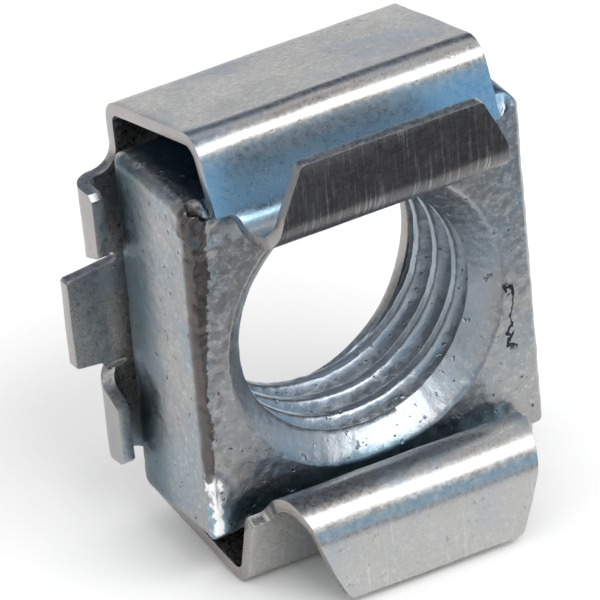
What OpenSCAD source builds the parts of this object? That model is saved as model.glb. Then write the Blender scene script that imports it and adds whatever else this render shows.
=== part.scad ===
// Rack cage nut, M10: a square nut held in a folded spring steel cage.
// Millimetres. X runs along the spring wings, Y is the thread axis and Z is up.
// The origin is the middle of the nut's bore. The wings reach forward, towards -Y,
// and the back plate of the cage is on the +Y side. The modules below are drawn with
// y = 0 at the front face of the nut, and the two nodes are moved back from there.

/* [Thread] */
// Diameter of the bore, left by the tap drill of M10 x 1.25
bore_d = 8.7; // [8:0.1:9.2]
// Diameter of the countersinks at both ends of the bore
countersink_d = 10.6; // [9.6:0.1:11.2]
// Depth of each countersink
countersink_depth = 0.9; // [0.3:0.1:1.5]
// Pitch of the thread
thread_pitch = 1.25; // [1.1:0.05:1.35]
// Depth of the thread
thread_depth = 0.65; // [0.4:0.05:0.75]

/* [Nut] */
// Width of the square nut, along X
nut_w = 12.8; // [12:0.1:13.6]
// Height of the square nut, along Z
nut_h = 13; // [12:0.1:14]
// Thickness of the nut, along the thread
nut_t = 5.6; // [5:0.1:6.4]
// Radius of the rounded edges around the back face
nut_round = 1.1; // [0.5:0.1:1.8]
// Height of the bevels along the top and the bottom of the front face
bevel_h = 0.7; // [0.5:0.05:1]
// Depth of the same bevels
bevel_depth = 0.5; // [0.4:0.05:0.8]
// Radius of the four edges that run along the thread
nut_corner_r = 0.4; // [0.2:0.05:1]

/* [Sheet] */
// Thickness of the spring steel
sheet_t = 0.45; // [0.35:0.05:0.55]
// Gap between the back of the nut and the plate
back_gap = 0.4; // [0.35:0.05:0.8]
// Gap above and below the nut at the back of the cage
nut_play = 0.4; // [0.35:0.05:0.8]
// Gap between each side of the nut and the side tabs
side_gap = 0.4; // [0.2:0.05:0.6]
// Lean of the cage on the nut, its top towards the back, in degrees
cage_lean = 2.5; // [0:0.1:2.8]
// Height of the middle of the cage above the thread axis
cage_lift = 0.3; // [0:0.05:0.35]

/* [Folded walls] */
// Width of the top and bottom walls at the back
wall_back_w = 11.1; // [10.6:0.1:11.6]
// Width of the same walls at the front
wall_front_w = 10.9; // [10.4:0.1:11.1]
// Opening of each wall towards the front, in degrees
splay = 10.3; // [9:0.1:11]
// Outer radius of the folds at the back
back_fold_r = 0.8; // [0.6:0.05:1.1]
// Outer radius of the folds at the front
front_fold_r = 0.95; // [0.6:0.05:1.1]
// Lean of the front walls, towards the middle and forward, in degrees
front_lean = 18; // [17:0.5:21]
// Length of the front walls, from the corner of the fold to the spring
front_wall_l = 2.7; // [2.5:0.05:2.9]

/* [Spring wings] */
// Outer radius of the bend of the springs
spring_r = 1.42; // [1.2:0.01:1.6]
// Forward lean of the lips, in degrees
lip_lean = 3; // [-2:0.5:6]
// Length of the flat lips
lip_l = 2.05; // [1.4:0.05:2.4]
// Width of the springs at their root
wing_root_w = 9.4; // [8.8:0.1:9.8]
// Width of the springs at the front of the bend
wing_bend_w = 8.9; // [8.4:0.1:9.2]
// Width of the lips above the bend
lip_base_w = 8.3; // [7.6:0.1:8.6]
// Width of the lips at the tip
lip_tip_w = 7; // [6:0.1:7.4]
// Radius of the corners of the lips
lip_corner_r = 0.3; // [0.2:0.05:0.8]
// Length of the front walls that runs on beside the springs
wall_edge_l = 2.85; // [2.6:0.05:3.1]
// Radius of the corners beside the springs
root_r = 0.35; // [0.2:0.05:0.4]

/* [Back plate] */
// Diameter of the clearance hole
plate_hole_d = 10; // [9.8:0.1:10.6]
// Drop of the hole's centre below the middle of the cage
plate_hole_drop = 0.5; // [0:0.1:0.7]
// Height of the wide middle of the plate, which carries the tabs
plate_wide_h = 10.4; // [10:0.1:10.8]
// Drop of that wide middle, and of the tabs, below the middle of the cage
tab_drop = 0.2; // [0:0.05:0.3]

/* [Side tabs] */
// Outer radius of the bends of the corner tabs
tab_bend_r = 0.9; // [0.7:0.05:1]
// Reach of the corner tabs, from the back of the plate
tab_reach = 1.65; // [1.4:0.05:2]
// Slant of the inner edges of the corner tabs
tab_slant = 0.8; // [0.2:0.1:1.2]
// Height of the flat middle tabs at their root
middle_tab_h = 3.7; // [3:0.1:4]
// Distance from the tip of a middle tab to the outside of the corner tabs
middle_tab_out = 0.7; // [0.2:0.05:1]
// Taper of the middle tabs on each edge
middle_tab_taper = 0.2; // [0:0.05:0.4]
// Height of the notches above and below the middle tabs
notch_h = 0.35; // [0.25:0.05:0.6]
// Depth of the same notches into the plate
notch_depth = 0.35; // [0.2:0.05:0.5]

/* [Hidden] */
$fn = 96;
plate_front = nut_t + back_gap;
plate_back = plate_front + sheet_t;
tab_outer = nut_w / 2 + side_gap + sheet_t;
back_corner_z = nut_h / 2 + nut_play + sheet_t;
// The folds at the front stand this far behind the front face of the nut
front_corner_y = 0.05;
wall_l = (plate_back - front_corner_y) / cos(splay);
front_corner_z = back_corner_z + (plate_back - front_corner_y) * tan(splay);
back_turn = 90 - splay;
front_turn = 90 + splay - front_lean;
spring_turn = 180 - front_lean - lip_lean;
back_setback = back_fold_r * tan(back_turn / 2);
front_setback = front_fold_r * tan(front_turn / 2);
wall_edge_z = front_corner_z - wall_edge_l * cos(front_lean);
spring_y = front_corner_y - front_wall_l * sin(front_lean) - (spring_r - sheet_t) * cos(front_lean);
spring_z = front_corner_z - front_wall_l * cos(front_lean) + (spring_r - sheet_t) * sin(front_lean);
lip_top_z = spring_z - spring_r * sin(lip_lean) + lip_l * cos(lip_lean);
// Far enough to pass the whole part in any direction
beyond = 2 * (nut_h + plate_back);

// Draws a flat profile, given as (y, z), over a width centred on x = 0
module along_x(w) {
    translate([-w / 2, 0, 0])
        rotate([90, 0, 90])
            linear_extrude(w)
                children();
}

// Draws a front view, given as (x, z), from y0 to y1
module along_y(y0, y1) {
    translate([0, y1, 0])
        rotate([90, 0, 0])
            linear_extrude(y1 - y0)
                children();
}

// A flat length of sheet; what follows it starts at its end
module run(l) {
    square([l, sheet_t]);
    translate([l, 0])
        children();
}

module ring_sector(r, turn) {
    intersection() {
        difference() {
            circle(r);
            circle(r - sheet_t);
        }
        polygon(concat([[0, 0]], [for (i = [0:3]) 2 * r * [cos(turn * i / 3), sin(turn * i / 3)]]));
    }
}

// A bend towards the inside of the cage, r being its outer radius
module fold_in(r, turn) {
    translate([0, r]) {
        rotate(-90)
            ring_sector(r, turn);
        rotate(turn)
            translate([0, -r])
                children();
    }
}

// A bend away from the inside of the cage, r being its outer radius
module fold_out(r, turn) {
    translate([0, sheet_t - r]) {
        rotate(90 - turn)
            ring_sector(r, turn);
        rotate(-turn)
            translate([0, r - sheet_t])
                children();
    }
}

// One leg in side view: half of the plate, the wall, the front wall and the spring
module leg_profile() {
    translate([plate_back, 0])
        rotate(90)
            run(back_corner_z - back_setback)
            fold_in(back_fold_r, back_turn)
            run(wall_l - back_setback - front_setback)
            fold_in(front_fold_r, front_turn)
            run(front_wall_l - front_setback)
            fold_out(spring_r, spring_turn)
            run(lip_l);
}

// Outline of the walls in plan: they narrow a little towards the front
module walls_plan() {
    polygon([
        [-wall_back_w / 2, plate_back + 1], [-wall_back_w / 2, plate_back],
        [-wall_front_w / 2, front_corner_y], [-wall_front_w / 2, spring_y],
        [wall_front_w / 2, spring_y], [wall_front_w / 2, front_corner_y],
        [wall_back_w / 2, plate_back], [wall_back_w / 2, plate_back + 1]
    ]);
}

// Outline of the springs in plan, from their root to the front of the bend
module spring_plan() {
    root_y = spring_y + spring_r;
    bend_y = spring_y - spring_r / 2;
    polygon([
        [-wing_root_w / 2, root_y + 1], [-wing_root_w / 2, root_y],
        [-wing_bend_w / 2, bend_y], [-wing_bend_w / 2, spring_y - 2 * spring_r],
        [wing_bend_w / 2, spring_y - 2 * spring_r], [wing_bend_w / 2, bend_y],
        [wing_root_w / 2, root_y], [wing_root_w / 2, root_y + 1]
    ]);
}

// Outline of the springs in front view: the lips taper to a rounded tip
module spring_front() {
    floor_z = spring_z - spring_r;
    base_z = floor_z + 0.55;
    tip_x = lip_tip_w / 2 - lip_corner_r;
    tip_z = lip_top_z - lip_corner_r;
    polygon([
        [-wing_root_w / 2 - 1, floor_z - 1], [-wing_root_w / 2 - 1, base_z],
        [-wing_root_w / 2, base_z], [-lip_base_w / 2, base_z + 0.85],
        [-lip_tip_w / 2, tip_z], [lip_tip_w / 2, tip_z],
        [lip_base_w / 2, base_z + 0.85], [wing_root_w / 2, base_z],
        [wing_root_w / 2 + 1, base_z], [wing_root_w / 2 + 1, floor_z - 1]
    ]);
    translate([-tip_x, tip_z - 0.01])
        square([2 * tip_x, lip_corner_r + 1]);
    translate([-tip_x, tip_z])
        circle(lip_corner_r);
    translate([tip_x, tip_z])
        circle(lip_corner_r);
}

// Front view of the walls beside the springs, with the round corners at the root
module wall_front() {
    translate([-wall_back_w, wall_edge_z])
        square([2 * wall_back_w, 6]);
    difference() {
        translate([-wing_root_w / 2 - root_r, wall_edge_z - root_r])
            square([wing_root_w + 2 * root_r, root_r + 1]);
        for (side = [-1, 1])
            translate([side * (wing_root_w / 2 + root_r), wall_edge_z - root_r])
                circle(root_r);
    }
}

module leg() {
    intersection() {
        along_x(wall_back_w + 2)
            leg_profile();
        union() {
            intersection() {
                linear_extrude(beyond)
                    walls_plan();
                along_y(spring_y, plate_back + 1)
                    wall_front();
            }
            // The plate below the free edges of the front walls
            translate([-wall_back_w / 2, plate_front - 0.5, 0])
                cube([wall_back_w, 1 + sheet_t, wall_edge_z + 1]);
            intersection() {
                linear_extrude(beyond)
                    spring_plan();
                along_y(spring_y - 2 * spring_r, spring_y + 0.01)
                    spring_front();
            }
            // The first half of the bend, back to the front wall
            intersection() {
                linear_extrude(wall_edge_z + sheet_t)
                    spring_plan();
                translate([-wing_root_w, spring_y, 0])
                    cube([2 * wing_root_w, spring_r + sheet_t, beyond]);
            }
        }
    }
}

// Outline of the plate in front view, with the flat middle tabs and their notches
module plate_outline() {
    wide_x = tab_outer - tab_bend_r;
    wide_z = plate_wide_h / 2;
    shoulder_r = wide_x - wall_back_w / 2;
    mid_z = middle_tab_h / 2;
    tip_x = tab_outer + middle_tab_out;
    difference() {
        union() {
            square([2 * wide_x, plate_wide_h], center = true);
            square([wall_back_w, plate_wide_h + 2 * shoulder_r], center = true);
            for (side = [-1, 1], up = [-1, 1])
                translate([side * (wide_x - shoulder_r / 2), up * (wide_z + shoulder_r / 2)])
                    square(shoulder_r, center = true);
        }
        for (side = [-1, 1], up = [-1, 1]) {
            translate([side * wide_x, up * (wide_z + shoulder_r)])
                circle(shoulder_r);
            translate([side * wide_x, up * (mid_z + notch_h / 2)])
                square([2 * notch_depth, notch_h], center = true);
        }
    }
    for (side = [0, 1])
        mirror([side, 0])
            polygon([
                [wide_x - notch_depth, -mid_z], [tip_x, middle_tab_taper - mid_z],
                [tip_x, mid_z - middle_tab_taper], [wide_x - notch_depth, mid_z]
            ]);
}

// A corner tab: a strip bent forward at the side of the plate, here at the upper right
module corner_tab() {
    low_z = middle_tab_h / 2 + notch_h;
    intersection() {
        translate([0, 0, low_z])
            linear_extrude(plate_wide_h / 2 - low_z)
                translate([tab_outer - tab_bend_r, plate_back - tab_bend_r]) {
                    ring_sector(tab_bend_r, 90);
                    translate([-0.2, tab_bend_r - sheet_t])
                        square([0.21, sheet_t]);
                    translate([tab_bend_r - sheet_t, tab_bend_r - tab_reach])
                        square([sheet_t, tab_reach - tab_bend_r]);
                }
        along_x(4 * tab_outer)
            polygon([
                [plate_back + 1, low_z], [plate_back - 0.4, low_z],
                [plate_back - tab_reach, low_z + tab_slant], [plate_back - tab_reach, plate_wide_h / 2 - 0.25],
                [plate_back - tab_reach + 0.25, plate_wide_h / 2], [plate_back + 1, plate_wide_h / 2]
            ]);
    }
}

// The cage as it was folded, standing upright around its own middle plane
module folded_cage() {
    difference() {
        union() {
            leg();
            mirror([0, 0, 1])
                leg();
            translate([0, 0, -tab_drop]) {
                along_y(plate_front, plate_back)
                    plate_outline();
                for (side = [0, 1], up = [0, 1])
                    mirror([side, 0, 0])
                        mirror([0, 0, up])
                            corner_tab();
            }
        }
        translate([0, plate_back + 1, -plate_hole_drop])
            rotate([90, 0, 0])
                cylinder(d = plate_hole_d, h = 3);
    }
}

// Spring steel cage, one folded sheet, leaning a little on the nut
module spring_cage() {
    color([0.62, 0.65, 0.70])
        translate([0, -nut_t / 2, 0])
            rotate([-cage_lean, 0, 0])
                translate([0, 0, cage_lift])
                    folded_cage();
}

// Side view of the nut: rounded at the back, bevelled at the front
module nut_side() {
    polygon([
        [0, -nut_h / 2 + bevel_h], [bevel_depth, -nut_h / 2],
        [nut_t - nut_round, -nut_h / 2], [nut_t - nut_round, nut_h / 2],
        [bevel_depth, nut_h / 2], [0, nut_h / 2 - bevel_h]
    ]);
    translate([nut_t - nut_round - 0.01, nut_round - nut_h / 2])
        square([nut_round + 0.01, nut_h - 2 * nut_round]);
    for (up = [-1, 1])
        translate([nut_t - nut_round, up * (nut_h / 2 - nut_round)])
            circle(nut_round);
}

// Plan of the nut: its back corners are rounded
module nut_plan() {
    translate([-nut_w / 2, 0])
        square([nut_w, nut_t - nut_round]);
    translate([nut_round - nut_w / 2, nut_t - nut_round - 0.01])
        square([nut_w - 2 * nut_round, nut_round + 0.01]);
    for (side = [-1, 1])
        translate([side * (nut_w / 2 - nut_round), nut_t - nut_round])
            circle(nut_round);
}

// Front view of the nut
module nut_front() {
    square([nut_w - 2 * nut_corner_r, nut_h], center = true);
    square([nut_w, nut_h - 2 * nut_corner_r], center = true);
    for (side = [-1, 1], up = [-1, 1])
        translate([side * (nut_w / 2 - nut_corner_r), up * (nut_h / 2 - nut_corner_r)])
            circle(nut_corner_r);
}

// The nut with y = 0 at its front face
module bevelled_nut() {
    intersection() {
        along_x(nut_w + 2)
            nut_side();
        translate([0, 0, -nut_h])
            linear_extrude(2 * nut_h)
                nut_plan();
        along_y(-1, nut_t + 1)
            nut_front();
    }
}

// One turn of the thread as a plain ring, with a flat root and a crest of a quarter pitch
module thread_groove() {
    crest_r = bore_d / 2;
    mouth = 0.75 * thread_pitch;
    root = thread_pitch / 8;
    rotate_extrude()
        polygon([
            [crest_r - 1, -mouth / 2], [crest_r, -mouth / 2],
            [crest_r + thread_depth, -root / 2], [crest_r + thread_depth, root / 2],
            [crest_r, mouth / 2], [crest_r - 1, mouth / 2]
        ]);
}

// Square steel nut; its bore is at the minor diameter, and rings stand for the thread's helix
module square_nut() {
    color([0.50, 0.52, 0.55])
        difference() {
            translate([0, -nut_t / 2, 0])
                bevelled_nut();
            rotate([90, 0, 0]) {
                cylinder(d = bore_d, h = nut_t + 2, center = true);
                for (turn = [-1.5:1.5])
                    translate([0, 0, turn * thread_pitch])
                        thread_groove();
            }
            for (end = [0, 1])
                mirror([0, end, 0])
                    translate([0, -nut_t / 2, 0])
                        rotate([-90, 0, 0])
                            cylinder(d1 = countersink_d, d2 = bore_d, h = countersink_depth);
        }
}

spring_cage();
square_nut();
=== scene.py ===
import math

import bmesh
import bpy
import numpy as np
from mathutils import Matrix, Vector, noise


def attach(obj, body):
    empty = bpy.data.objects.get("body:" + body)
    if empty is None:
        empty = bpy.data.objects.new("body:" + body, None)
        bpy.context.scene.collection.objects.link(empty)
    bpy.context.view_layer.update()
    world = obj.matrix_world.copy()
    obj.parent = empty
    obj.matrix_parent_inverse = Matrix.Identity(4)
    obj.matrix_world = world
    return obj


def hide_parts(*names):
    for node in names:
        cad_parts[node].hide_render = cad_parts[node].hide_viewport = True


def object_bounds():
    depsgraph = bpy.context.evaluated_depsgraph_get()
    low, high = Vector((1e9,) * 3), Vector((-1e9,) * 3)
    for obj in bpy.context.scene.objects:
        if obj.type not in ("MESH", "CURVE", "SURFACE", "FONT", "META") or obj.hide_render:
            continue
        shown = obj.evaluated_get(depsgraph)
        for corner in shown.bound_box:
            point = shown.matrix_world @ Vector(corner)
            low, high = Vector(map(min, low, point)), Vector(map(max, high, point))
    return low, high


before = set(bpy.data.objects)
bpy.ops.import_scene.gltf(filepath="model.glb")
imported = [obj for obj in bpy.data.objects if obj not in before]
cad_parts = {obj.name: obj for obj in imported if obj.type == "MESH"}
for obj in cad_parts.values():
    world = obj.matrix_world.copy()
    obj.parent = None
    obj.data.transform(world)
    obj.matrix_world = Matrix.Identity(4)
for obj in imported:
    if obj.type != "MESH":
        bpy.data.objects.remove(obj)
cad_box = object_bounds()

# ---------------------------------------------------------------------------
# Spring cage: one blank of thin spring steel, sheared, pierced and folded.
# It is drawn here as the flat blank, with u across and v along the strip, and
# every point is then carried round the folds. Sizes are in millimetres.
# ---------------------------------------------------------------------------
SHEET = 0.45
PLATE_BACK = 6.45
CAGE_LEAN = math.radians(2.5)
CAGE_LIFT = 0.3
FACE_TO_ORIGIN = 2.8
WIDE_X = 6.35
WIDE_Z = 5.2
TAB_DROP = 0.2
TAB_R = 0.9
TAB_L = TAB_R * math.pi / 2 + 0.75
HOLE_R = 5.0
HOLE_DROP = 0.5
RIM_ROUND = 0.085
UNEVEN_SIZE = 1.6
UNEVEN_DEPTH = 0.03

# The unevenness of the steel comes out the same each time
noise.seed_set(7)


def leg_steps(back_z, splay, back_r, corner_y, front_r, lean, front_l, spring_r, lip_lean, lip_l):
    """Lengths and curvatures of one leg's outer face, from the middle of the plate to the lip."""
    splay, lean, lip_lean = (math.radians(a) for a in (splay, lean, lip_lean))
    back_turn = math.pi / 2 - splay
    front_turn = math.pi / 2 + splay - lean
    spring_turn = math.pi - lean - lip_lean
    back_set = back_r * math.tan(back_turn / 2)
    front_set = front_r * math.tan(front_turn / 2)
    wall_l = (PLATE_BACK - corner_y) / math.cos(splay)
    inner_r = spring_r - SHEET
    return [
        (back_z - back_set, 0.0),
        (back_r * back_turn, 1 / back_r),
        (wall_l - back_set - front_set, 0.0),
        (front_r * front_turn, 1 / front_r),
        (front_l - front_set, 0.0),
        (inner_r * spring_turn, -1 / inner_r),
        (lip_l, 0.0),
    ]


class Leg:
    """One leg of the cage: where each point of the blank lands once it is folded."""

    def __init__(self, up, steps):
        self.up = up
        self.ends = np.cumsum([length for length, _ in steps])
        step = 0.01
        self.s = np.arange(0.0, self.ends[-1] + step, step)
        bend = np.zeros_like(self.s)
        start = 0.0
        for length, curvature in steps:
            bend[(self.s >= start) & (self.s < start + length)] = curvature
            start += length
        # A press never leaves a perfect arc: the bends run out softly
        soft = np.hanning(31)
        bend = np.convolve(bend, soft / soft.sum(), mode="same")
        angle = math.pi / 2 + np.concatenate([[0.0], np.cumsum(bend[:-1] * step)])
        self.angle = angle
        self.y = PLATE_BACK + np.concatenate([[0.0], np.cumsum(np.cos(angle[:-1]) * step)])
        self.z = np.concatenate([[0.0], np.cumsum(np.sin(angle[:-1]) * step)])

    def fold(self, s, depth):
        y = np.interp(s, self.s, self.y)
        z = np.interp(s, self.s, self.z)
        angle = np.interp(s, self.s, self.angle)
        return y - np.sin(angle) * depth, self.up * (z + np.cos(angle) * depth)


UPPER = Leg(1, leg_steps(7.37, 10.4, 0.82, 0.06, 1.0, 18.5, 2.72, 1.43, 3, 1.9))
LOWER = Leg(-1, leg_steps(7.37, 10.4, 0.82, 0.06, 0.9, 17.5, 2.72, 1.42, 2, 2.15))


def fold_blank(points):
    """Takes (u, v, depth) of the flat blank to the folded cage, leaning on the nut."""
    u, v, depth = points.T
    y = np.empty_like(u)
    z = np.empty_like(u)
    for leg in (UPPER, LOWER):
        mine = v * leg.up >= 0
        y[mine], z[mine] = leg.fold(np.abs(v[mine]), depth[mine])
    x = u.copy()
    past = np.abs(u) - WIDE_X
    tab = (past > 0) & (np.abs(v + TAB_DROP) > 2.0) & (np.abs(v) < 6.5)
    turn = np.clip(past[tab] / TAB_R, 0, math.pi / 2)
    flat = np.clip(past[tab] - TAB_R * math.pi / 2, 0, None)
    side = np.sign(u[tab])
    x[tab] = side * (WIDE_X + (TAB_R - depth[tab]) * np.sin(turn))
    y[tab] = PLATE_BACK - TAB_R + (TAB_R - depth[tab]) * np.cos(turn) - flat
    z += CAGE_LIFT
    cos, sin = math.cos(CAGE_LEAN), math.sin(CAGE_LEAN)
    return np.stack([x, y * cos + z * sin, z * cos - y * sin], axis=1)


def arc(cx, cz, r, start, end, count=8):
    angles = np.radians(np.linspace(start, end, count))
    return [(cx + r * math.cos(a), cz + r * math.sin(a)) for a in angles]


def leg_edge(leg, back_w, front_w, root_w, bend_w, base_w, tip_w, corner_r):
    """One side of a leg on the blank, from the plate's shoulder to the tip of the lip."""
    s = leg.ends
    edge_s = s[4] + 0.15
    spring = s[5] - s[4]
    points = [(back_w, s[1]), (front_w, s[2]), (front_w, s[3] + 0.2), (front_w, edge_s - 0.12)]
    points += arc(front_w - 0.12, edge_s - 0.12, 0.12, 30, 90, 3)
    points += arc(root_w + 0.35, edge_s + 0.35, 0.35, 270, 190, 6)
    points += [(root_w, edge_s + 0.5), ((root_w + bend_w) / 2, s[4] + 0.45 * spring)]
    points += [(bend_w, s[4] + 0.68 * spring), ((bend_w + base_w) / 2 - 0.02, s[4] + 0.86 * spring)]
    points += [(base_w, s[5] + 0.1), ((base_w + tip_w) / 2, (s[5] + s[6]) / 2)]
    points += arc(tip_w - corner_r, s[6] - corner_r, corner_r, 15, 90, 6)
    return points


def plate_edge(tip_x, tip_low, tip_high, tab_low, slant, tab_high):
    """The side of the plate from its middle up: the flat tab, the notch and the corner tab."""
    notch = WIDE_X - 0.3
    return [
        (tip_x, 0.0),
        (tip_x, tip_high - 0.08),
        (tip_x - 0.08, tip_high),
        (WIDE_X + 0.1, tip_low),
        (notch + 0.1, tip_low + 0.02),
        (notch, tip_low + 0.1),
        (notch, tab_low - 0.1),
        (notch + 0.1, tab_low),
        (WIDE_X + 0.5, tab_low + 0.05),
        (WIDE_X + TAB_L - 0.12, tab_low + slant),
        (WIDE_X + TAB_L, tab_low + slant + 0.1),
        (WIDE_X + TAB_L, tab_high - 0.25),
        (WIDE_X + TAB_L - 0.2, tab_high - 0.05),
        (WIDE_X + 0.3, tab_high),
    ]


def shoulder(wall_w, tab_high):
    r = WIDE_X - wall_w
    return arc(WIDE_X, tab_high + r, r, 265, 185, 7)


def blank_outline():
    quarters = {}
    for side in (-1, 1):
        wall = 5.55 if side < 0 else 5.4
        extra = 0.0 if side < 0 else 0.1
        upper = plate_edge(7.97, 1.62, 1.45, 2.0, 0.55, WIDE_Z - TAB_DROP)
        upper += shoulder(wall, WIDE_Z - TAB_DROP)
        upper += leg_edge(UPPER, wall, wall - 0.02, 4.7, 4.5, 4.2 + extra, 3.5 + extra, 0.25)
        lower = plate_edge(7.97, 2.0, 1.85, 2.15, 0.95, WIDE_Z + TAB_DROP)
        lower += shoulder(wall, WIDE_Z + TAB_DROP)
        lower += leg_edge(LOWER, wall, wall - 0.02, 4.7, 4.45, 4.15, 3.45, 0.35)
        quarters[side] = ([(side * u, v) for u, v in upper], [(side * u, -v) for u, v in lower[1:]])
    right_up, right_down = quarters[1]
    left_up, left_down = quarters[-1]
    return right_up + left_up[::-1] + left_down + right_down[::-1]


def cut_blank():
    """The flat blank as a closed solid with rolled edges, sliced finely where it will bend."""
    bm = bmesh.new()
    loops = [blank_outline(), [(x, z - HOLE_DROP) for x, z in arc(0, 0, HOLE_R, 0, 355, 72)]]
    for loop in loops:
        verts = [bm.verts.new((u, v, 0)) for u, v in loop]
        for a, b in zip(verts, verts[1:] + verts[:1]):
            bm.edges.new((a, b))
    bmesh.ops.triangle_fill(bm, edges=bm.edges[:], use_beauty=True, use_dissolve=False)
    bottom = bm.faces[:]
    made = bmesh.ops.extrude_face_region(bm, geom=bottom, use_keep_orig=True)
    moved = [g for g in made["geom"] if isinstance(g, bmesh.types.BMVert)]
    bmesh.ops.translate(bm, verts=moved, vec=(0, 0, SHEET))
    bmesh.ops.recalc_face_normals(bm, faces=bm.faces[:])
    rims = [e for e in bm.edges if len(e.link_faces) == 2 and e.calc_face_angle() > 1.2
            and abs(e.verts[0].co.z - e.verts[1].co.z) < 1e-6]
    bmesh.ops.bevel(bm, geom=rims, offset=RIM_ROUND, segments=3, profile=0.5, affect="EDGES",
                    clamp_overlap=True)
    cuts = []
    for leg in (UPPER, LOWER):
        s = leg.ends
        for low, high, step in ((s[0] - 0.3, s[1] + 0.3, 0.09), (s[2] - 0.3, s[3] + 0.3, 0.09),
                                (s[4] - 0.3, s[5] + 0.2, 0.075)):
            cuts += [leg.up * c for c in np.arange(low, high, step)]
        flats = ((0.3, s[0] - 0.3), (s[1] + 0.3, s[2] - 0.3), (s[3] + 0.3, s[4] - 0.3), (s[5] + 0.3, s[6]))
        for low, high in flats:
            cuts += [leg.up * c for c in np.linspace(low, high, max(2, int((high - low) / 0.45)))]
    for v in cuts:
        geom = bm.verts[:] + bm.edges[:] + bm.faces[:]
        bmesh.ops.bisect_plane(bm, geom=geom, dist=1e-6, plane_co=(0, v, 0), plane_no=(0, 1, 0))
    tab_cuts = [side * (WIDE_X + a) for side in (-1, 1) for a in np.arange(0, 1.6, 0.12)]
    for u in list(np.arange(-5.25, 5.3, 0.75)) + tab_cuts:
        geom = bm.verts[:] + bm.edges[:] + bm.faces[:]
        bmesh.ops.bisect_plane(bm, geom=geom, dist=1e-6, plane_co=(u, 0, 0), plane_no=(1, 0, 0))
    bmesh.ops.triangulate(bm, faces=[f for f in bm.faces if len(f.verts) > 4])
    return bm


def piece_from_bmesh(name, bm, points, sharp):
    for vert, co in zip(bm.verts, points):
        vert.co = Vector(co)
    bmesh.ops.recalc_face_normals(bm, faces=bm.faces[:])
    mesh = bpy.data.meshes.new(name)
    bm.to_mesh(mesh)
    bm.free()
    mesh.shade_smooth()
    mesh.set_sharp_from_angle(angle=math.radians(sharp))
    piece = bpy.data.objects.new(name, mesh)
    bpy.context.collection.objects.link(piece)
    return piece


def to_frame(points):
    """Millimetres with y = 0 at the nut's face, to metres around the middle of the bore."""
    return (np.asarray(points) - np.array([0.0, FACE_TO_ORIGIN, 0.0])) * 0.001


def hammered(points, size, depth, seed):
    """Small soft unevenness along each axis, as pressed steel has."""
    out = np.empty_like(points)
    for i, p in enumerate(points):
        out[i] = noise.noise_vector(Vector(p) / size + Vector((seed, seed * 1.7, -seed)))
    return points + out * depth


blank = cut_blank()
flat = np.array([v.co[:] for v in blank.verts])
folded = fold_blank(flat)
folded = hammered(folded, UNEVEN_SIZE, UNEVEN_DEPTH, 3.1)
cage = piece_from_bmesh("folded_spring_cage", blank, to_frame(folded), 40)
def group_with(name, inputs, outputs):
    """An empty shader node group with its sockets, and the two nodes that carry them."""
    group = bpy.data.node_groups.new(name, "ShaderNodeTree")
    for label, default in inputs:
        socket = group.interface.new_socket(label, in_out="INPUT", socket_type="NodeSocketFloat")
        socket.default_value = default
    for label, kind in outputs:
        group.interface.new_socket(label, in_out="OUTPUT", socket_type=kind)
    return group, group.nodes.new("NodeGroupInput"), group.nodes.new("NodeGroupOutput")


def noise_node(tree, place, scale, detail, rough=0.6):
    node = tree.nodes.new("ShaderNodeTexNoise")
    node.inputs["Scale"].default_value = scale
    node.inputs["Detail"].default_value = detail
    node.inputs["Roughness"].default_value = rough
    tree.links.new(place, node.inputs["Vector"])
    return node.outputs["Fac"]


def span(tree, value, low, high, to_low=0.0, to_high=1.0):
    """Maps a stretch of values softly to another."""
    node = tree.nodes.new("ShaderNodeMapRange")
    node.interpolation_type = "SMOOTHSTEP"
    for label, number in (("From Min", low), ("From Max", high), ("To Min", to_low), ("To Max", to_high)):
        node.inputs[label].default_value = number
    tree.links.new(value, node.inputs["Value"])
    return node.outputs["Result"]


def calc(tree, kind, a, b):
    node = tree.nodes.new("ShaderNodeMath")
    node.operation = kind
    for socket, value in zip(node.inputs, (a, b)):
        if isinstance(value, (int, float)):
            socket.default_value = value
        else:
            tree.links.new(value, socket)
    return node.outputs[0]


def magnitude(tree, value):
    return calc(tree, "ABSOLUTE", value, 0)


def blend(tree, share, low, high):
    """Mixes two colours, each a plain colour or the output of a node."""
    node = tree.nodes.new("ShaderNodeMix")
    node.data_type = "RGBA"
    tree.links.new(share, node.inputs["Factor"])
    for label, value in (("A", low), ("B", high)):
        socket = [s for s in node.inputs if s.name == label and s.type == "RGBA"][0]
        if isinstance(value, tuple):
            socket.default_value = (*value, 1)
        else:
            tree.links.new(value, socket)
    return [s for s in node.outputs if s.type == "RGBA"][0]


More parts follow.
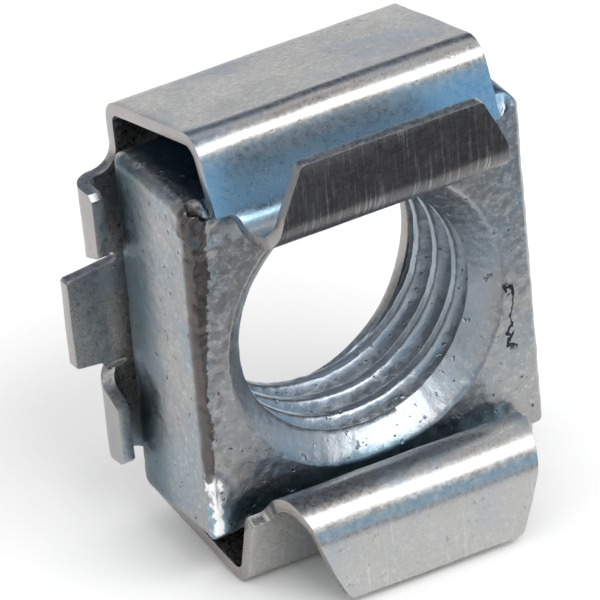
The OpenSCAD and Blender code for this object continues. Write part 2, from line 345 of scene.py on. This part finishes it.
def zinc_plating():
    """Blue-bright zinc over steel: clouds of blue and warm grey, pits, grain and fine scratches."""
    inputs = [("Blue", 0.5), ("Pitting", 0.5), ("Scratches", 0.3), ("Dullness", 0.2)]
    outputs = [("Color", "NodeSocketColor"), ("Roughness", "NodeSocketFloat"), ("Height", "NodeSocketFloat")]
    group, given, result = group_with("zinc_plating", inputs, outputs)
    place = group.nodes.new("ShaderNodeTexCoord").outputs["Object"]
    clouds = span(group, noise_node(group, place, 300, 5), 0.3, 0.7)
    tint = span(group, calc(group, "ADD", clouds, given.outputs["Blue"]), 0.55, 1.45)
    grain = noise_node(group, place, 5200, 3, 0.7)
    speck = noise_node(group, place, 3600, 2, 0.5)
    pits = calc(group, "MULTIPLY", span(group, speck, 0.66, 0.74), given.outputs["Pitting"])
    stretch = group.nodes.new("ShaderNodeMapping")
    stretch.inputs["Scale"].default_value = (9, 1, 0.5)
    group.links.new(place, stretch.inputs["Vector"])
    lines = span(group, noise_node(group, stretch.outputs[0], 620, 3, 0.7), 0.6, 0.74)
    lines = calc(group, "MULTIPLY", lines, given.outputs["Scratches"])
    base = blend(group, tint, (0.5, 0.49, 0.475), (0.36, 0.45, 0.54))
    base = blend(group, given.outputs["Dullness"], base, (0.13, 0.145, 0.155))
    grainy = blend(group, span(group, grain, 0.45, 0.85), base, (0.6, 0.62, 0.64))
    worn = blend(group, pits, grainy, (0.09, 0.09, 0.1))
    group.links.new(blend(group, lines, worn, (0.88, 0.89, 0.9)), result.inputs["Color"])
    fine = span(group, grain, 0.3, 0.7, -0.06, 0.08)
    rough = calc(group, "ADD", fine, calc(group, "MULTIPLY", clouds, 0.08))
    group.links.new(calc(group, "ADD", rough, 0.26), result.inputs["Roughness"])
    height = calc(group, "SUBTRACT", calc(group, "MULTIPLY", grain, 0.5), pits)
    height = calc(group, "SUBTRACT", height, calc(group, "MULTIPLY", lines, 0.4))
    group.links.new(height, result.inputs["Height"])
    return group


ZINC_PLATING = zinc_plating()


def plated(name, blue, pitting, scratches, dullness, bump):
    """A metal material on the plating, with handles to the parts that a piece goes on to change."""
    material = bpy.data.materials.new(name)
    material.use_nodes = True
    tree = material.node_tree
    shader = tree.nodes["Principled BSDF"]
    shader.inputs["Metallic"].default_value = 1.0
    plating = tree.nodes.new("ShaderNodeGroup")
    plating.node_tree = ZINC_PLATING
    given = (("Blue", blue), ("Pitting", pitting), ("Scratches", scratches), ("Dullness", dullness))
    for label, value in given:
        plating.inputs[label].default_value = value
    relief = tree.nodes.new("ShaderNodeBump")
    relief.inputs["Distance"].default_value = 0.00004
    relief.inputs["Strength"].default_value = bump
    tree.links.new(plating.outputs["Height"], relief.inputs["Height"])
    tree.links.new(relief.outputs["Normal"], shader.inputs["Normal"])
    return material, tree, shader, plating


def axis_of(tree, label):
    """One coordinate of the piece, in metres."""
    split = tree.nodes.new("ShaderNodeSeparateXYZ")
    tree.links.new(tree.nodes.new("ShaderNodeTexCoord").outputs["Object"], split.inputs[0])
    return split.outputs[label]


def facing(tree, label):
    """How far the surface faces along one axis of the piece."""
    split = tree.nodes.new("ShaderNodeSeparateXYZ")
    tree.links.new(tree.nodes.new("ShaderNodeTexCoord").outputs["Normal"], split.inputs[0])
    return split.outputs[label]


def bent_steel():
    material, tree, shader, plating = plated("bright_spring_steel", 0.12, 0.3, 0.25, 0.05, 0.25)
    y, z = (axis_of(tree, label) for label in "YZ")
    color = plating.outputs["Color"]
    # Sheared edges and tab sides are bare and brownish
    sides = magnitude(tree, facing(tree, "X"))
    color = blend(tree, calc(tree, "MULTIPLY", span(tree, sides, 0.5, 0.9), 0.7), color, (0.34, 0.31, 0.29))
    # Painted deep blue shade on the down-facing insides of the upper wall
    painted_under_shade = calc(tree, "MULTIPLY", span(tree, facing(tree, "Z"), -0.4, -0.8), span(tree, z, 0.006, 0.0065))
    color = blend(tree, calc(tree, "MULTIPLY", painted_under_shade, 0.85), color, (0.1, 0.22, 0.33))
    front = span(tree, y, -0.0026, -0.0029)
    # The upper front wall gets a painted blue reflection, which fades out lower down, below the fold
    painted_blue_reflection = calc(tree, "MULTIPLY", front, span(tree, z, 0.0048, 0.0056))
    painted_blue_reflection = calc(tree, "MULTIPLY", painted_blue_reflection, span(tree, y, -0.0042, -0.0036))
    color = blend(tree, calc(tree, "MULTIPLY", painted_blue_reflection, 0.75), color, (0.24, 0.42, 0.58))
    # The outer face of the upper lip gets a painted dark reflection, broken into lighter streaks along the
    # scuffs
    lip_reflection_mask = calc(tree, "MULTIPLY", span(tree, y, -0.0049, -0.0053), span(tree, z, 0.0042, 0.0047))
    lip_reflection_mask = calc(tree, "MULTIPLY", lip_reflection_mask, span(tree, facing(tree, "Y"), -0.3, -0.8))
    stretch = tree.nodes.new("ShaderNodeMapping")
    stretch.inputs["Scale"].default_value = (16, 1, 0.5)
    tree.links.new(tree.nodes.new("ShaderNodeTexCoord").outputs["Object"], stretch.inputs["Vector"])
    scuffs = span(tree, noise_node(tree, stretch.outputs[0], 520, 4, 0.75), 0.52, 0.7, 0.9, 0.25)
    painted_dark_reflection = calc(tree, "MULTIPLY", lip_reflection_mask, scuffs)
    color = blend(tree, painted_dark_reflection, color, (0.1, 0.095, 0.1))
    tree.links.new(color, shader.inputs["Base Color"])
    tree.links.new(plating.outputs["Roughness"], shader.inputs["Roughness"])
    return material


cage.data.materials.append(bent_steel())
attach(cage, "cage")
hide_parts("spring_cage")


# ---------------------------------------------------------------------------
# Square nut: cold forged steel with a tapped M10 hole. Its back edges are
# rounded by the die, and its front keeps the bevels and the burr of the shear.
# ---------------------------------------------------------------------------
HALF_X = 6.4
HALF_Z = 6.5
NUT_T = 5.6
CORNER_R = 0.45
BACK_ROUND = 1.1
BORE_R = 4.35
THREAD_DEPTH = 0.65
SINK_R = 5.3
SINK_DEPTH = 0.85
PITCH = 1.25
FIRST_CREST_Y = 0.45
SCOOP_DEPTH = 0.3
DENT_DEPTH = 0.12
# Where the crack runs on the front face, in metres
CRACK_X = 0.00545


def outline_slots():
    """Where each point of the square outline sits: its two corner centres, its share and its normal."""
    corners = [(1, -1), (1, 1), (-1, 1), (-1, -1)]
    slots = []
    for k, corner in enumerate(corners):
        following = corners[(k + 1) % 4]
        for a in np.linspace(-90 + 90 * k, 90 * k, 9):
            slots.append((*corner, *corner, 0.0, math.cos(math.radians(a)), math.sin(math.radians(a))))
        normal = (math.cos(math.radians(90 * k)), math.sin(math.radians(90 * k)))
        for f in np.linspace(0, 1, 132)[1:-1]:
            slots.append((*corner, *following, f, *normal))
    return np.array(slots)


SLOTS = outline_slots()


def outline(inset):
    """Points (x, z) of the square outline, drawn in by an inset that may vary along it."""
    r = np.maximum(CORNER_R - inset, 0.03)
    cx = HALF_X - inset - r
    cz = HALF_Z - inset - r
    f = SLOTS[:, 4]
    x = cx * (SLOTS[:, 0] * (1 - f) + SLOTS[:, 2] * f) + r * SLOTS[:, 5]
    z = cz * (SLOTS[:, 1] * (1 - f) + SLOTS[:, 3] * f) + r * SLOTS[:, 6]
    return x, z


def ring(x, y, z):
    return np.stack([x, np.broadcast_to(y, x.shape), z], axis=1)


def smooth(a, b, value):
    t = np.clip((value - a) / (b - a), 0, 1)
    return t * t * (3 - 2 * t)


def nut_rings():
    """The nut's skin as closed rings: out along its sides, over the back, and forward through the bore."""
    zero = np.zeros(len(SLOTS))
    upright = SLOTS[:, 6] ** 2
    bevel_in = 0.16 + 0.5 * upright
    bevel_deep = 0.16 + 0.34 * upright
    rings = []
    for t in (0.0, 0.08, 0.3, 0.6, 0.9, 1.0):
        x, z = outline(bevel_in * (1 - t) ** 1.15)
        rings.append(ring(x, bevel_deep * t ** 1.15, z))
    for t in np.linspace(0, 1, 26)[1:]:
        x, z = outline(zero)
        rings.append(ring(x, bevel_deep + (NUT_T - BACK_ROUND - bevel_deep) * t, z))
    for a in np.radians(np.linspace(0, 90, 10)[1:]):
        x, z = outline(zero + BACK_ROUND * (1 - math.cos(a)))
        rings.append(ring(x, NUT_T - BACK_ROUND * (1 - math.sin(a)), z))
    edge_x, edge_z = outline(zero + BACK_ROUND)
    angle = np.arctan2(edge_z, edge_x)
    cos, sin = np.cos(angle), np.sin(angle)
    for t in np.linspace(0, 1, 9)[1:]:
        rings.append(ring(edge_x * (1 - t) + SINK_R * cos * t, NUT_T, edge_z * (1 - t) + SINK_R * sin * t))
    for t in np.linspace(0, 1, 5)[1:]:
        r = SINK_R + (BORE_R + 0.05 - SINK_R) * t
        rings.append(ring(r * cos, NUT_T - SINK_DEPTH * t, r * sin))
    for y in np.linspace(NUT_T - SINK_DEPTH, SINK_DEPTH, 62)[1:-1]:
        turn = (y - FIRST_CREST_Y) / PITCH + angle / (2 * math.pi)
        wave = np.abs((turn % 1.0) - 0.5) * 2
        groove = smooth(0.22, 0.95, 1 - wave)
        ends = np.minimum(smooth(SINK_DEPTH - 0.2, SINK_DEPTH + 0.5, y), smooth(0.4, 1.0, NUT_T - y))
        r = BORE_R + THREAD_DEPTH * groove * (0.35 + 0.65 * ends) + 0.05 * (1 - ends)
        rings.append(ring(r * cos, y, r * sin))
    for t in np.linspace(1, 0, 8):
        r = SINK_R + (BORE_R + 0.05 - SINK_R) * t
        rings.append(ring(r * cos, SINK_DEPTH * t ** 1.1, r * sin))
    face_x, face_z = outline(bevel_in)
    for t in np.linspace(1, 0, 26)[1:-1]:
        rings.append(ring(face_x * (1 - t) + SINK_R * cos * t, 0.0, face_z * (1 - t) + SINK_R * sin * t))
    return np.stack(rings)


def forged(p):
    """Dents, sunk faces and the torn burr that forging and shearing leave on the nut."""
    x, y, z = p.T
    front = smooth(0.9, 0.0, y) * smooth(4.9, 5.4, np.hypot(x, z))
    # Scooped bevels under and over the hole, which end short of the corners
    scoop = smooth(4.7, 6.5, np.abs(z)) * smooth(5.7, 4.9, np.abs(x)) * front
    y = y + SCOOP_DEPTH * scoop
    rough = np.array([noise.noise_vector(Vector(q) / 0.35)[:] for q in p])
    soft = np.array([noise.noise_vector(Vector(q) / 1.9)[:] for q in p])
    # The left front edge carries a burr, torn open at its upper end
    edge = smooth(0.75, 0.0, np.hypot(x + HALF_X - 0.1, y))
    torn = smooth(3.6, 5.6, z) * smooth(1.3, 0.2, np.hypot(x + HALF_X - 0.35, y))
    amount = 0.02 + 0.05 * edge + 0.17 * torn + 0.05 * scoop
    moved = np.stack([x, y, z], axis=1) + rough * amount[:, None] + soft * 0.035
    # The left side is pressed in where the lower tab was bent over it
    dent = smooth(1.5, 0.0, np.hypot(y - 4.3, z + 2.6)) * smooth(-6.0, -6.3, x)
    moved[:, 0] += DENT_DEPTH * dent
    return moved


rings = nut_rings()
count, around = rings.shape[:2]
skin = forged(rings.reshape(-1, 3))
nut_mesh = bmesh.new()
verts = [nut_mesh.verts.new(p) for p in skin]
for i in range(count):
    for j in range(around):
        a, b = i * around + j, i * around + (j + 1) % around
        c, d = ((i + 1) % count) * around + (j + 1) % around, ((i + 1) % count) * around + j
        nut_mesh.faces.new((verts[a], verts[b], verts[c], verts[d]))
nut = piece_from_bmesh("forged_square_nut", nut_mesh, to_frame(skin), 50)
def forged_steel():
    material, tree, shader, plating = plated("plated_nut_steel", 0.25, 0.9, 0.1, 0.36, 0.75)
    x, y, z = (axis_of(tree, label) for label in "XYZ")
    place = tree.nodes.new("ShaderNodeTexCoord").outputs["Object"]
    color = plating.outputs["Color"]
    # Painted dark blue shade along the back of the left side
    side = calc(tree, "MULTIPLY", span(tree, x, -0.0061, -0.0063), span(tree, y, -0.0009, 0.0012))
    color = blend(tree, calc(tree, "MULTIPLY", side, 0.85), color, (0.05, 0.1, 0.13))
    # Painted navy shade on the top face, where the cage's upper wall lies over it
    top = calc(tree, "MULTIPLY", span(tree, z, 0.0061, 0.0063), span(tree, x, -0.0059, -0.0054))
    color = blend(tree, calc(tree, "MULTIPLY", top, 0.85), color, (0.1, 0.19, 0.27))
    # The bore and its countersink are tinted blue-grey
    off_axis = calc(tree, "ADD", calc(tree, "MULTIPLY", x, x), calc(tree, "MULTIPLY", z, z))
    bore = span(tree, off_axis, 2.7e-5, 2.3e-5)
    color = blend(tree, calc(tree, "MULTIPLY", bore, 0.6), color, (0.4, 0.46, 0.53))
    # Painted blue reflection of the lower leg on the front face, below the hole
    low = calc(tree, "MULTIPLY", span(tree, z, -0.0047, -0.0052), span(tree, y, -0.0022, -0.0026))
    low = calc(tree, "MULTIPLY", low, span(tree, x, 0.0054, 0.0048))
    color = blend(tree, calc(tree, "MULTIPLY", low, 0.7), color, (0.2, 0.36, 0.46))
    # Bare torn metal of the burr along the left front edge, widest at its upper end
    reach = span(tree, z, -0.001, 0.0056, 0.00006, 0.00055)
    ragged = calc(tree, "MULTIPLY", calc(tree, "SUBTRACT", noise_node(tree, place, 2600, 3), 0.5), 0.0006)
    edge = calc(tree, "SUBTRACT", calc(tree, "ADD", calc(tree, "ADD", x, 0.00625), ragged), reach)
    torn = calc(tree, "MULTIPLY", span(tree, edge, 0.0001, 0.0), span(tree, y, -0.0022, -0.0025))
    torn = calc(tree, "MULTIPLY", torn, span(tree, z, -0.005, -0.0035))
    color = blend(tree, calc(tree, "MULTIPLY", torn, 0.9), color, (0.1, 0.085, 0.08))
    # A painted highlight on that edge, lower down
    painted_edge_highlight = calc(tree, "ADD", magnitude(tree, calc(tree, "ADD", x, 0.00618)), ragged)
    painted_edge_highlight = calc(tree, "MULTIPLY", span(tree, painted_edge_highlight, 0.00022, 0.00012), span(tree, y, -0.0022, -0.0025))
    painted_edge_highlight = calc(tree, "MULTIPLY", painted_edge_highlight, span(tree, z, -0.0036, -0.0041))
    painted_edge_highlight = calc(tree, "MULTIPLY", painted_edge_highlight, span(tree, z, -0.0063, -0.006))
    color = blend(tree, painted_edge_highlight, color, (0.97, 0.97, 0.97))
    # A crack wanders down the right of the front face
    wander = calc(tree, "MULTIPLY", calc(tree, "SUBTRACT", noise_node(tree, place, 700, 4), 0.5), 0.0022)
    crack = magnitude(tree, calc(tree, "ADD", calc(tree, "SUBTRACT", x, CRACK_X), wander))
    crack = calc(tree, "MULTIPLY", span(tree, crack, 0.00007, 0.00004), span(tree, y, -0.0024, -0.0026))
    crack = calc(tree, "MULTIPLY", crack, span(tree, z, -0.0032, -0.0029))
    crack = calc(tree, "MULTIPLY", crack, span(tree, z, -0.0003, -0.0006))
    color = blend(tree, crack, color, (0.03, 0.04, 0.05))
    tree.links.new(color, shader.inputs["Base Color"])
    tree.links.new(calc(tree, "ADD", plating.outputs["Roughness"], 0.05), shader.inputs["Roughness"])
    return material


nut.data.materials.append(forged_steel())
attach(nut, "nut")
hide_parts("square_nut")


# ---------------------------------------------------------------------------
# Studio: a pale floor under soft white light, with dark, grey and blue cards
# around it that only the metal reflects, and the camera.
# ---------------------------------------------------------------------------



def backdrop(tree, shader_out, color):
    """A plain bright colour to the eye and in the metal, and the given shader to everything else."""
    path = tree.nodes.new("ShaderNodeLightPath")
    seen = calc(tree, "MAXIMUM", path.outputs["Is Camera Ray"], path.outputs["Is Glossy Ray"])
    seen = calc(tree, "MAXIMUM", seen, path.outputs["Is Transmission Ray"])
    glow = tree.nodes.new("ShaderNodeBackground")
    glow.inputs["Color"].default_value = (*color, 1)
    mix = tree.nodes.new("ShaderNodeMixShader")
    tree.links.new(seen, mix.inputs[0])
    tree.links.new(shader_out, mix.inputs[1])
    tree.links.new(glow.outputs[0], mix.inputs[2])
    return mix.outputs[0]


def stage_piece(name, verts, faces):
    """A piece of the studio, with a material of its own that is returned to be painted."""
    mesh = bpy.data.meshes.new(name)
    mesh.from_pydata(verts, [], faces)
    piece = bpy.data.objects.new(name, mesh)
    bpy.context.collection.objects.link(piece)
    paint = bpy.data.materials.new(name)
    paint.use_nodes = True
    mesh.materials.append(paint)
    return piece, paint.node_tree.nodes["Principled BSDF"]


def only_in_reflections(piece):
    piece.visible_camera = False
    piece.visible_shadow = False
    piece.visible_diffuse = False


def studio_card(name, turn, rise, color, distance=0.3):
    """A curved card between two bearings and two heights, seen by nothing but polished metal."""
    verts = []
    for el in np.radians(np.linspace(*rise, 5)):
        for az in np.radians(np.linspace(*turn, 9)):
            out = (math.sin(az) * math.cos(el), -math.cos(az) * math.cos(el), math.sin(el))
            verts.append([distance * c for c in out])
    corners = (0, 1, 10, 9)
    faces = [[r * 9 + c + k for k in corners] for r in range(4) for c in range(8)]
    card, shader = stage_piece(name, verts, faces)
    shader.inputs["Base Color"].default_value = (0, 0, 0, 1)
    shader.inputs["Specular IOR Level"].default_value = 0
    shader.inputs["Emission Color"].default_value = (*color, 1)
    shader.inputs["Emission Strength"].default_value = 1
    only_in_reflections(card)


# Bearings run from the front of the part towards its right, and heights from the horizon
studio_card("blue_card", (-25, 75), (0, 19), (0.3, 0.6, 0.85))
studio_card("tan_card", (-30, 75), (20, 33), (0.42, 0.38, 0.34))
studio_card("top_card", (-60, 160), (66, 84), (0.2, 0.15, 0.17))
studio_card("back_card", (110, 220), (16, 52), (0.1, 0.13, 0.18))
studio_card("left_card", (-150, -50), (-12, 40), (0.36, 0.4, 0.41))

FLOOR_SIZE = 2
FLOOR_Z = float(cad_box[0][2]) - 0.0001
floor_corners = [(-FLOOR_SIZE, -FLOOR_SIZE, FLOOR_Z), (FLOOR_SIZE, -FLOOR_SIZE, FLOOR_Z),
                 (FLOOR_SIZE, FLOOR_SIZE, FLOOR_Z), (-FLOOR_SIZE, FLOOR_SIZE, FLOOR_Z)]
floor, floor_shader = stage_piece("floor", floor_corners, [(0, 1, 2, 3)])
floor_shader.inputs["Base Color"].default_value = (0.97, 0.97, 0.97, 1)
floor_shader.inputs["Roughness"].default_value = 0.95
floor_shader.inputs["Specular IOR Level"].default_value = 0

# A grey mat lies on the floor in front, where the nut's face and the upper lip reflect it
MAT_NEAR = -0.0145
MAT_FAR = -0.06
MAT_Z = FLOOR_Z + 0.0002
mat_corners = [(-0.03, MAT_FAR, MAT_Z), (0.08, MAT_FAR, MAT_Z),
               (0.08, MAT_NEAR, MAT_Z), (-0.03, MAT_NEAR, MAT_Z)]
grey_mat, mat_shader = stage_piece("grey_mat", mat_corners, [(0, 1, 2, 3)])
mat_shader.inputs["Base Color"].default_value = (0.12, 0.12, 0.13, 1)
only_in_reflections(grey_mat)

world = bpy.data.worlds.new("studio")
bpy.context.scene.world = world
world.use_nodes = True
sky = world.node_tree.nodes["Background"]
sky.inputs["Color"].default_value = (0.9, 0.9, 0.9, 1)
seen_sky = backdrop(world.node_tree, sky.outputs[0], (1, 1, 1))
world.node_tree.links.new(seen_sky, world.node_tree.nodes["World Output"].inputs["Surface"])

softbox = bpy.data.lights.new("softbox", "AREA")
softbox.shape = "RECTANGLE"
softbox.size = 0.3
softbox.size_y = 0.12
softbox.energy = 0.5
softbox_at = bpy.data.objects.new("softbox", softbox)
softbox_at.location = (0.06, -0.2, 0.25)
softbox_at.rotation_euler = softbox_at.location.to_track_quat("Z", "Y").to_euler()
bpy.context.collection.objects.link(softbox_at)

# The camera's bearing, height and roll, and the point it looks at in millimetres from the nut's face
CAMERA_TURN = math.radians(-27.2282)
CAMERA_RISE = math.radians(30.457)
CAMERA_ROLL = math.radians(-5.2435)
CAMERA_DISTANCE = 457.9
AIM = Vector((-0.7746, 3.1964, -0.4117))
away = Vector((math.sin(CAMERA_TURN) * math.cos(CAMERA_RISE), -math.cos(CAMERA_TURN) * math.cos(CAMERA_RISE),
               math.sin(CAMERA_RISE)))
level_right = (-away).cross(Vector((0, 0, 1))).normalized()
level_up = level_right.cross(-away)
right = level_right * math.cos(CAMERA_ROLL) + level_up * math.sin(CAMERA_ROLL)
up = level_up * math.cos(CAMERA_ROLL) - level_right * math.sin(CAMERA_ROLL)
camera_data = bpy.data.cameras.new("camera")
camera_data.lens = 821.2
camera_data.sensor_width = 36
camera_data.clip_start = 0.01
camera = bpy.data.objects.new("camera", camera_data)
bpy.context.collection.objects.link(camera)
camera_at = Vector(to_frame(AIM + away * CAMERA_DISTANCE))
camera.matrix_world = Matrix.Translation(camera_at) @ Matrix((right, up, away)).transposed().to_4x4()
bpy.context.scene.camera = camera
bpy.context.scene.view_settings.view_transform = "Standard"
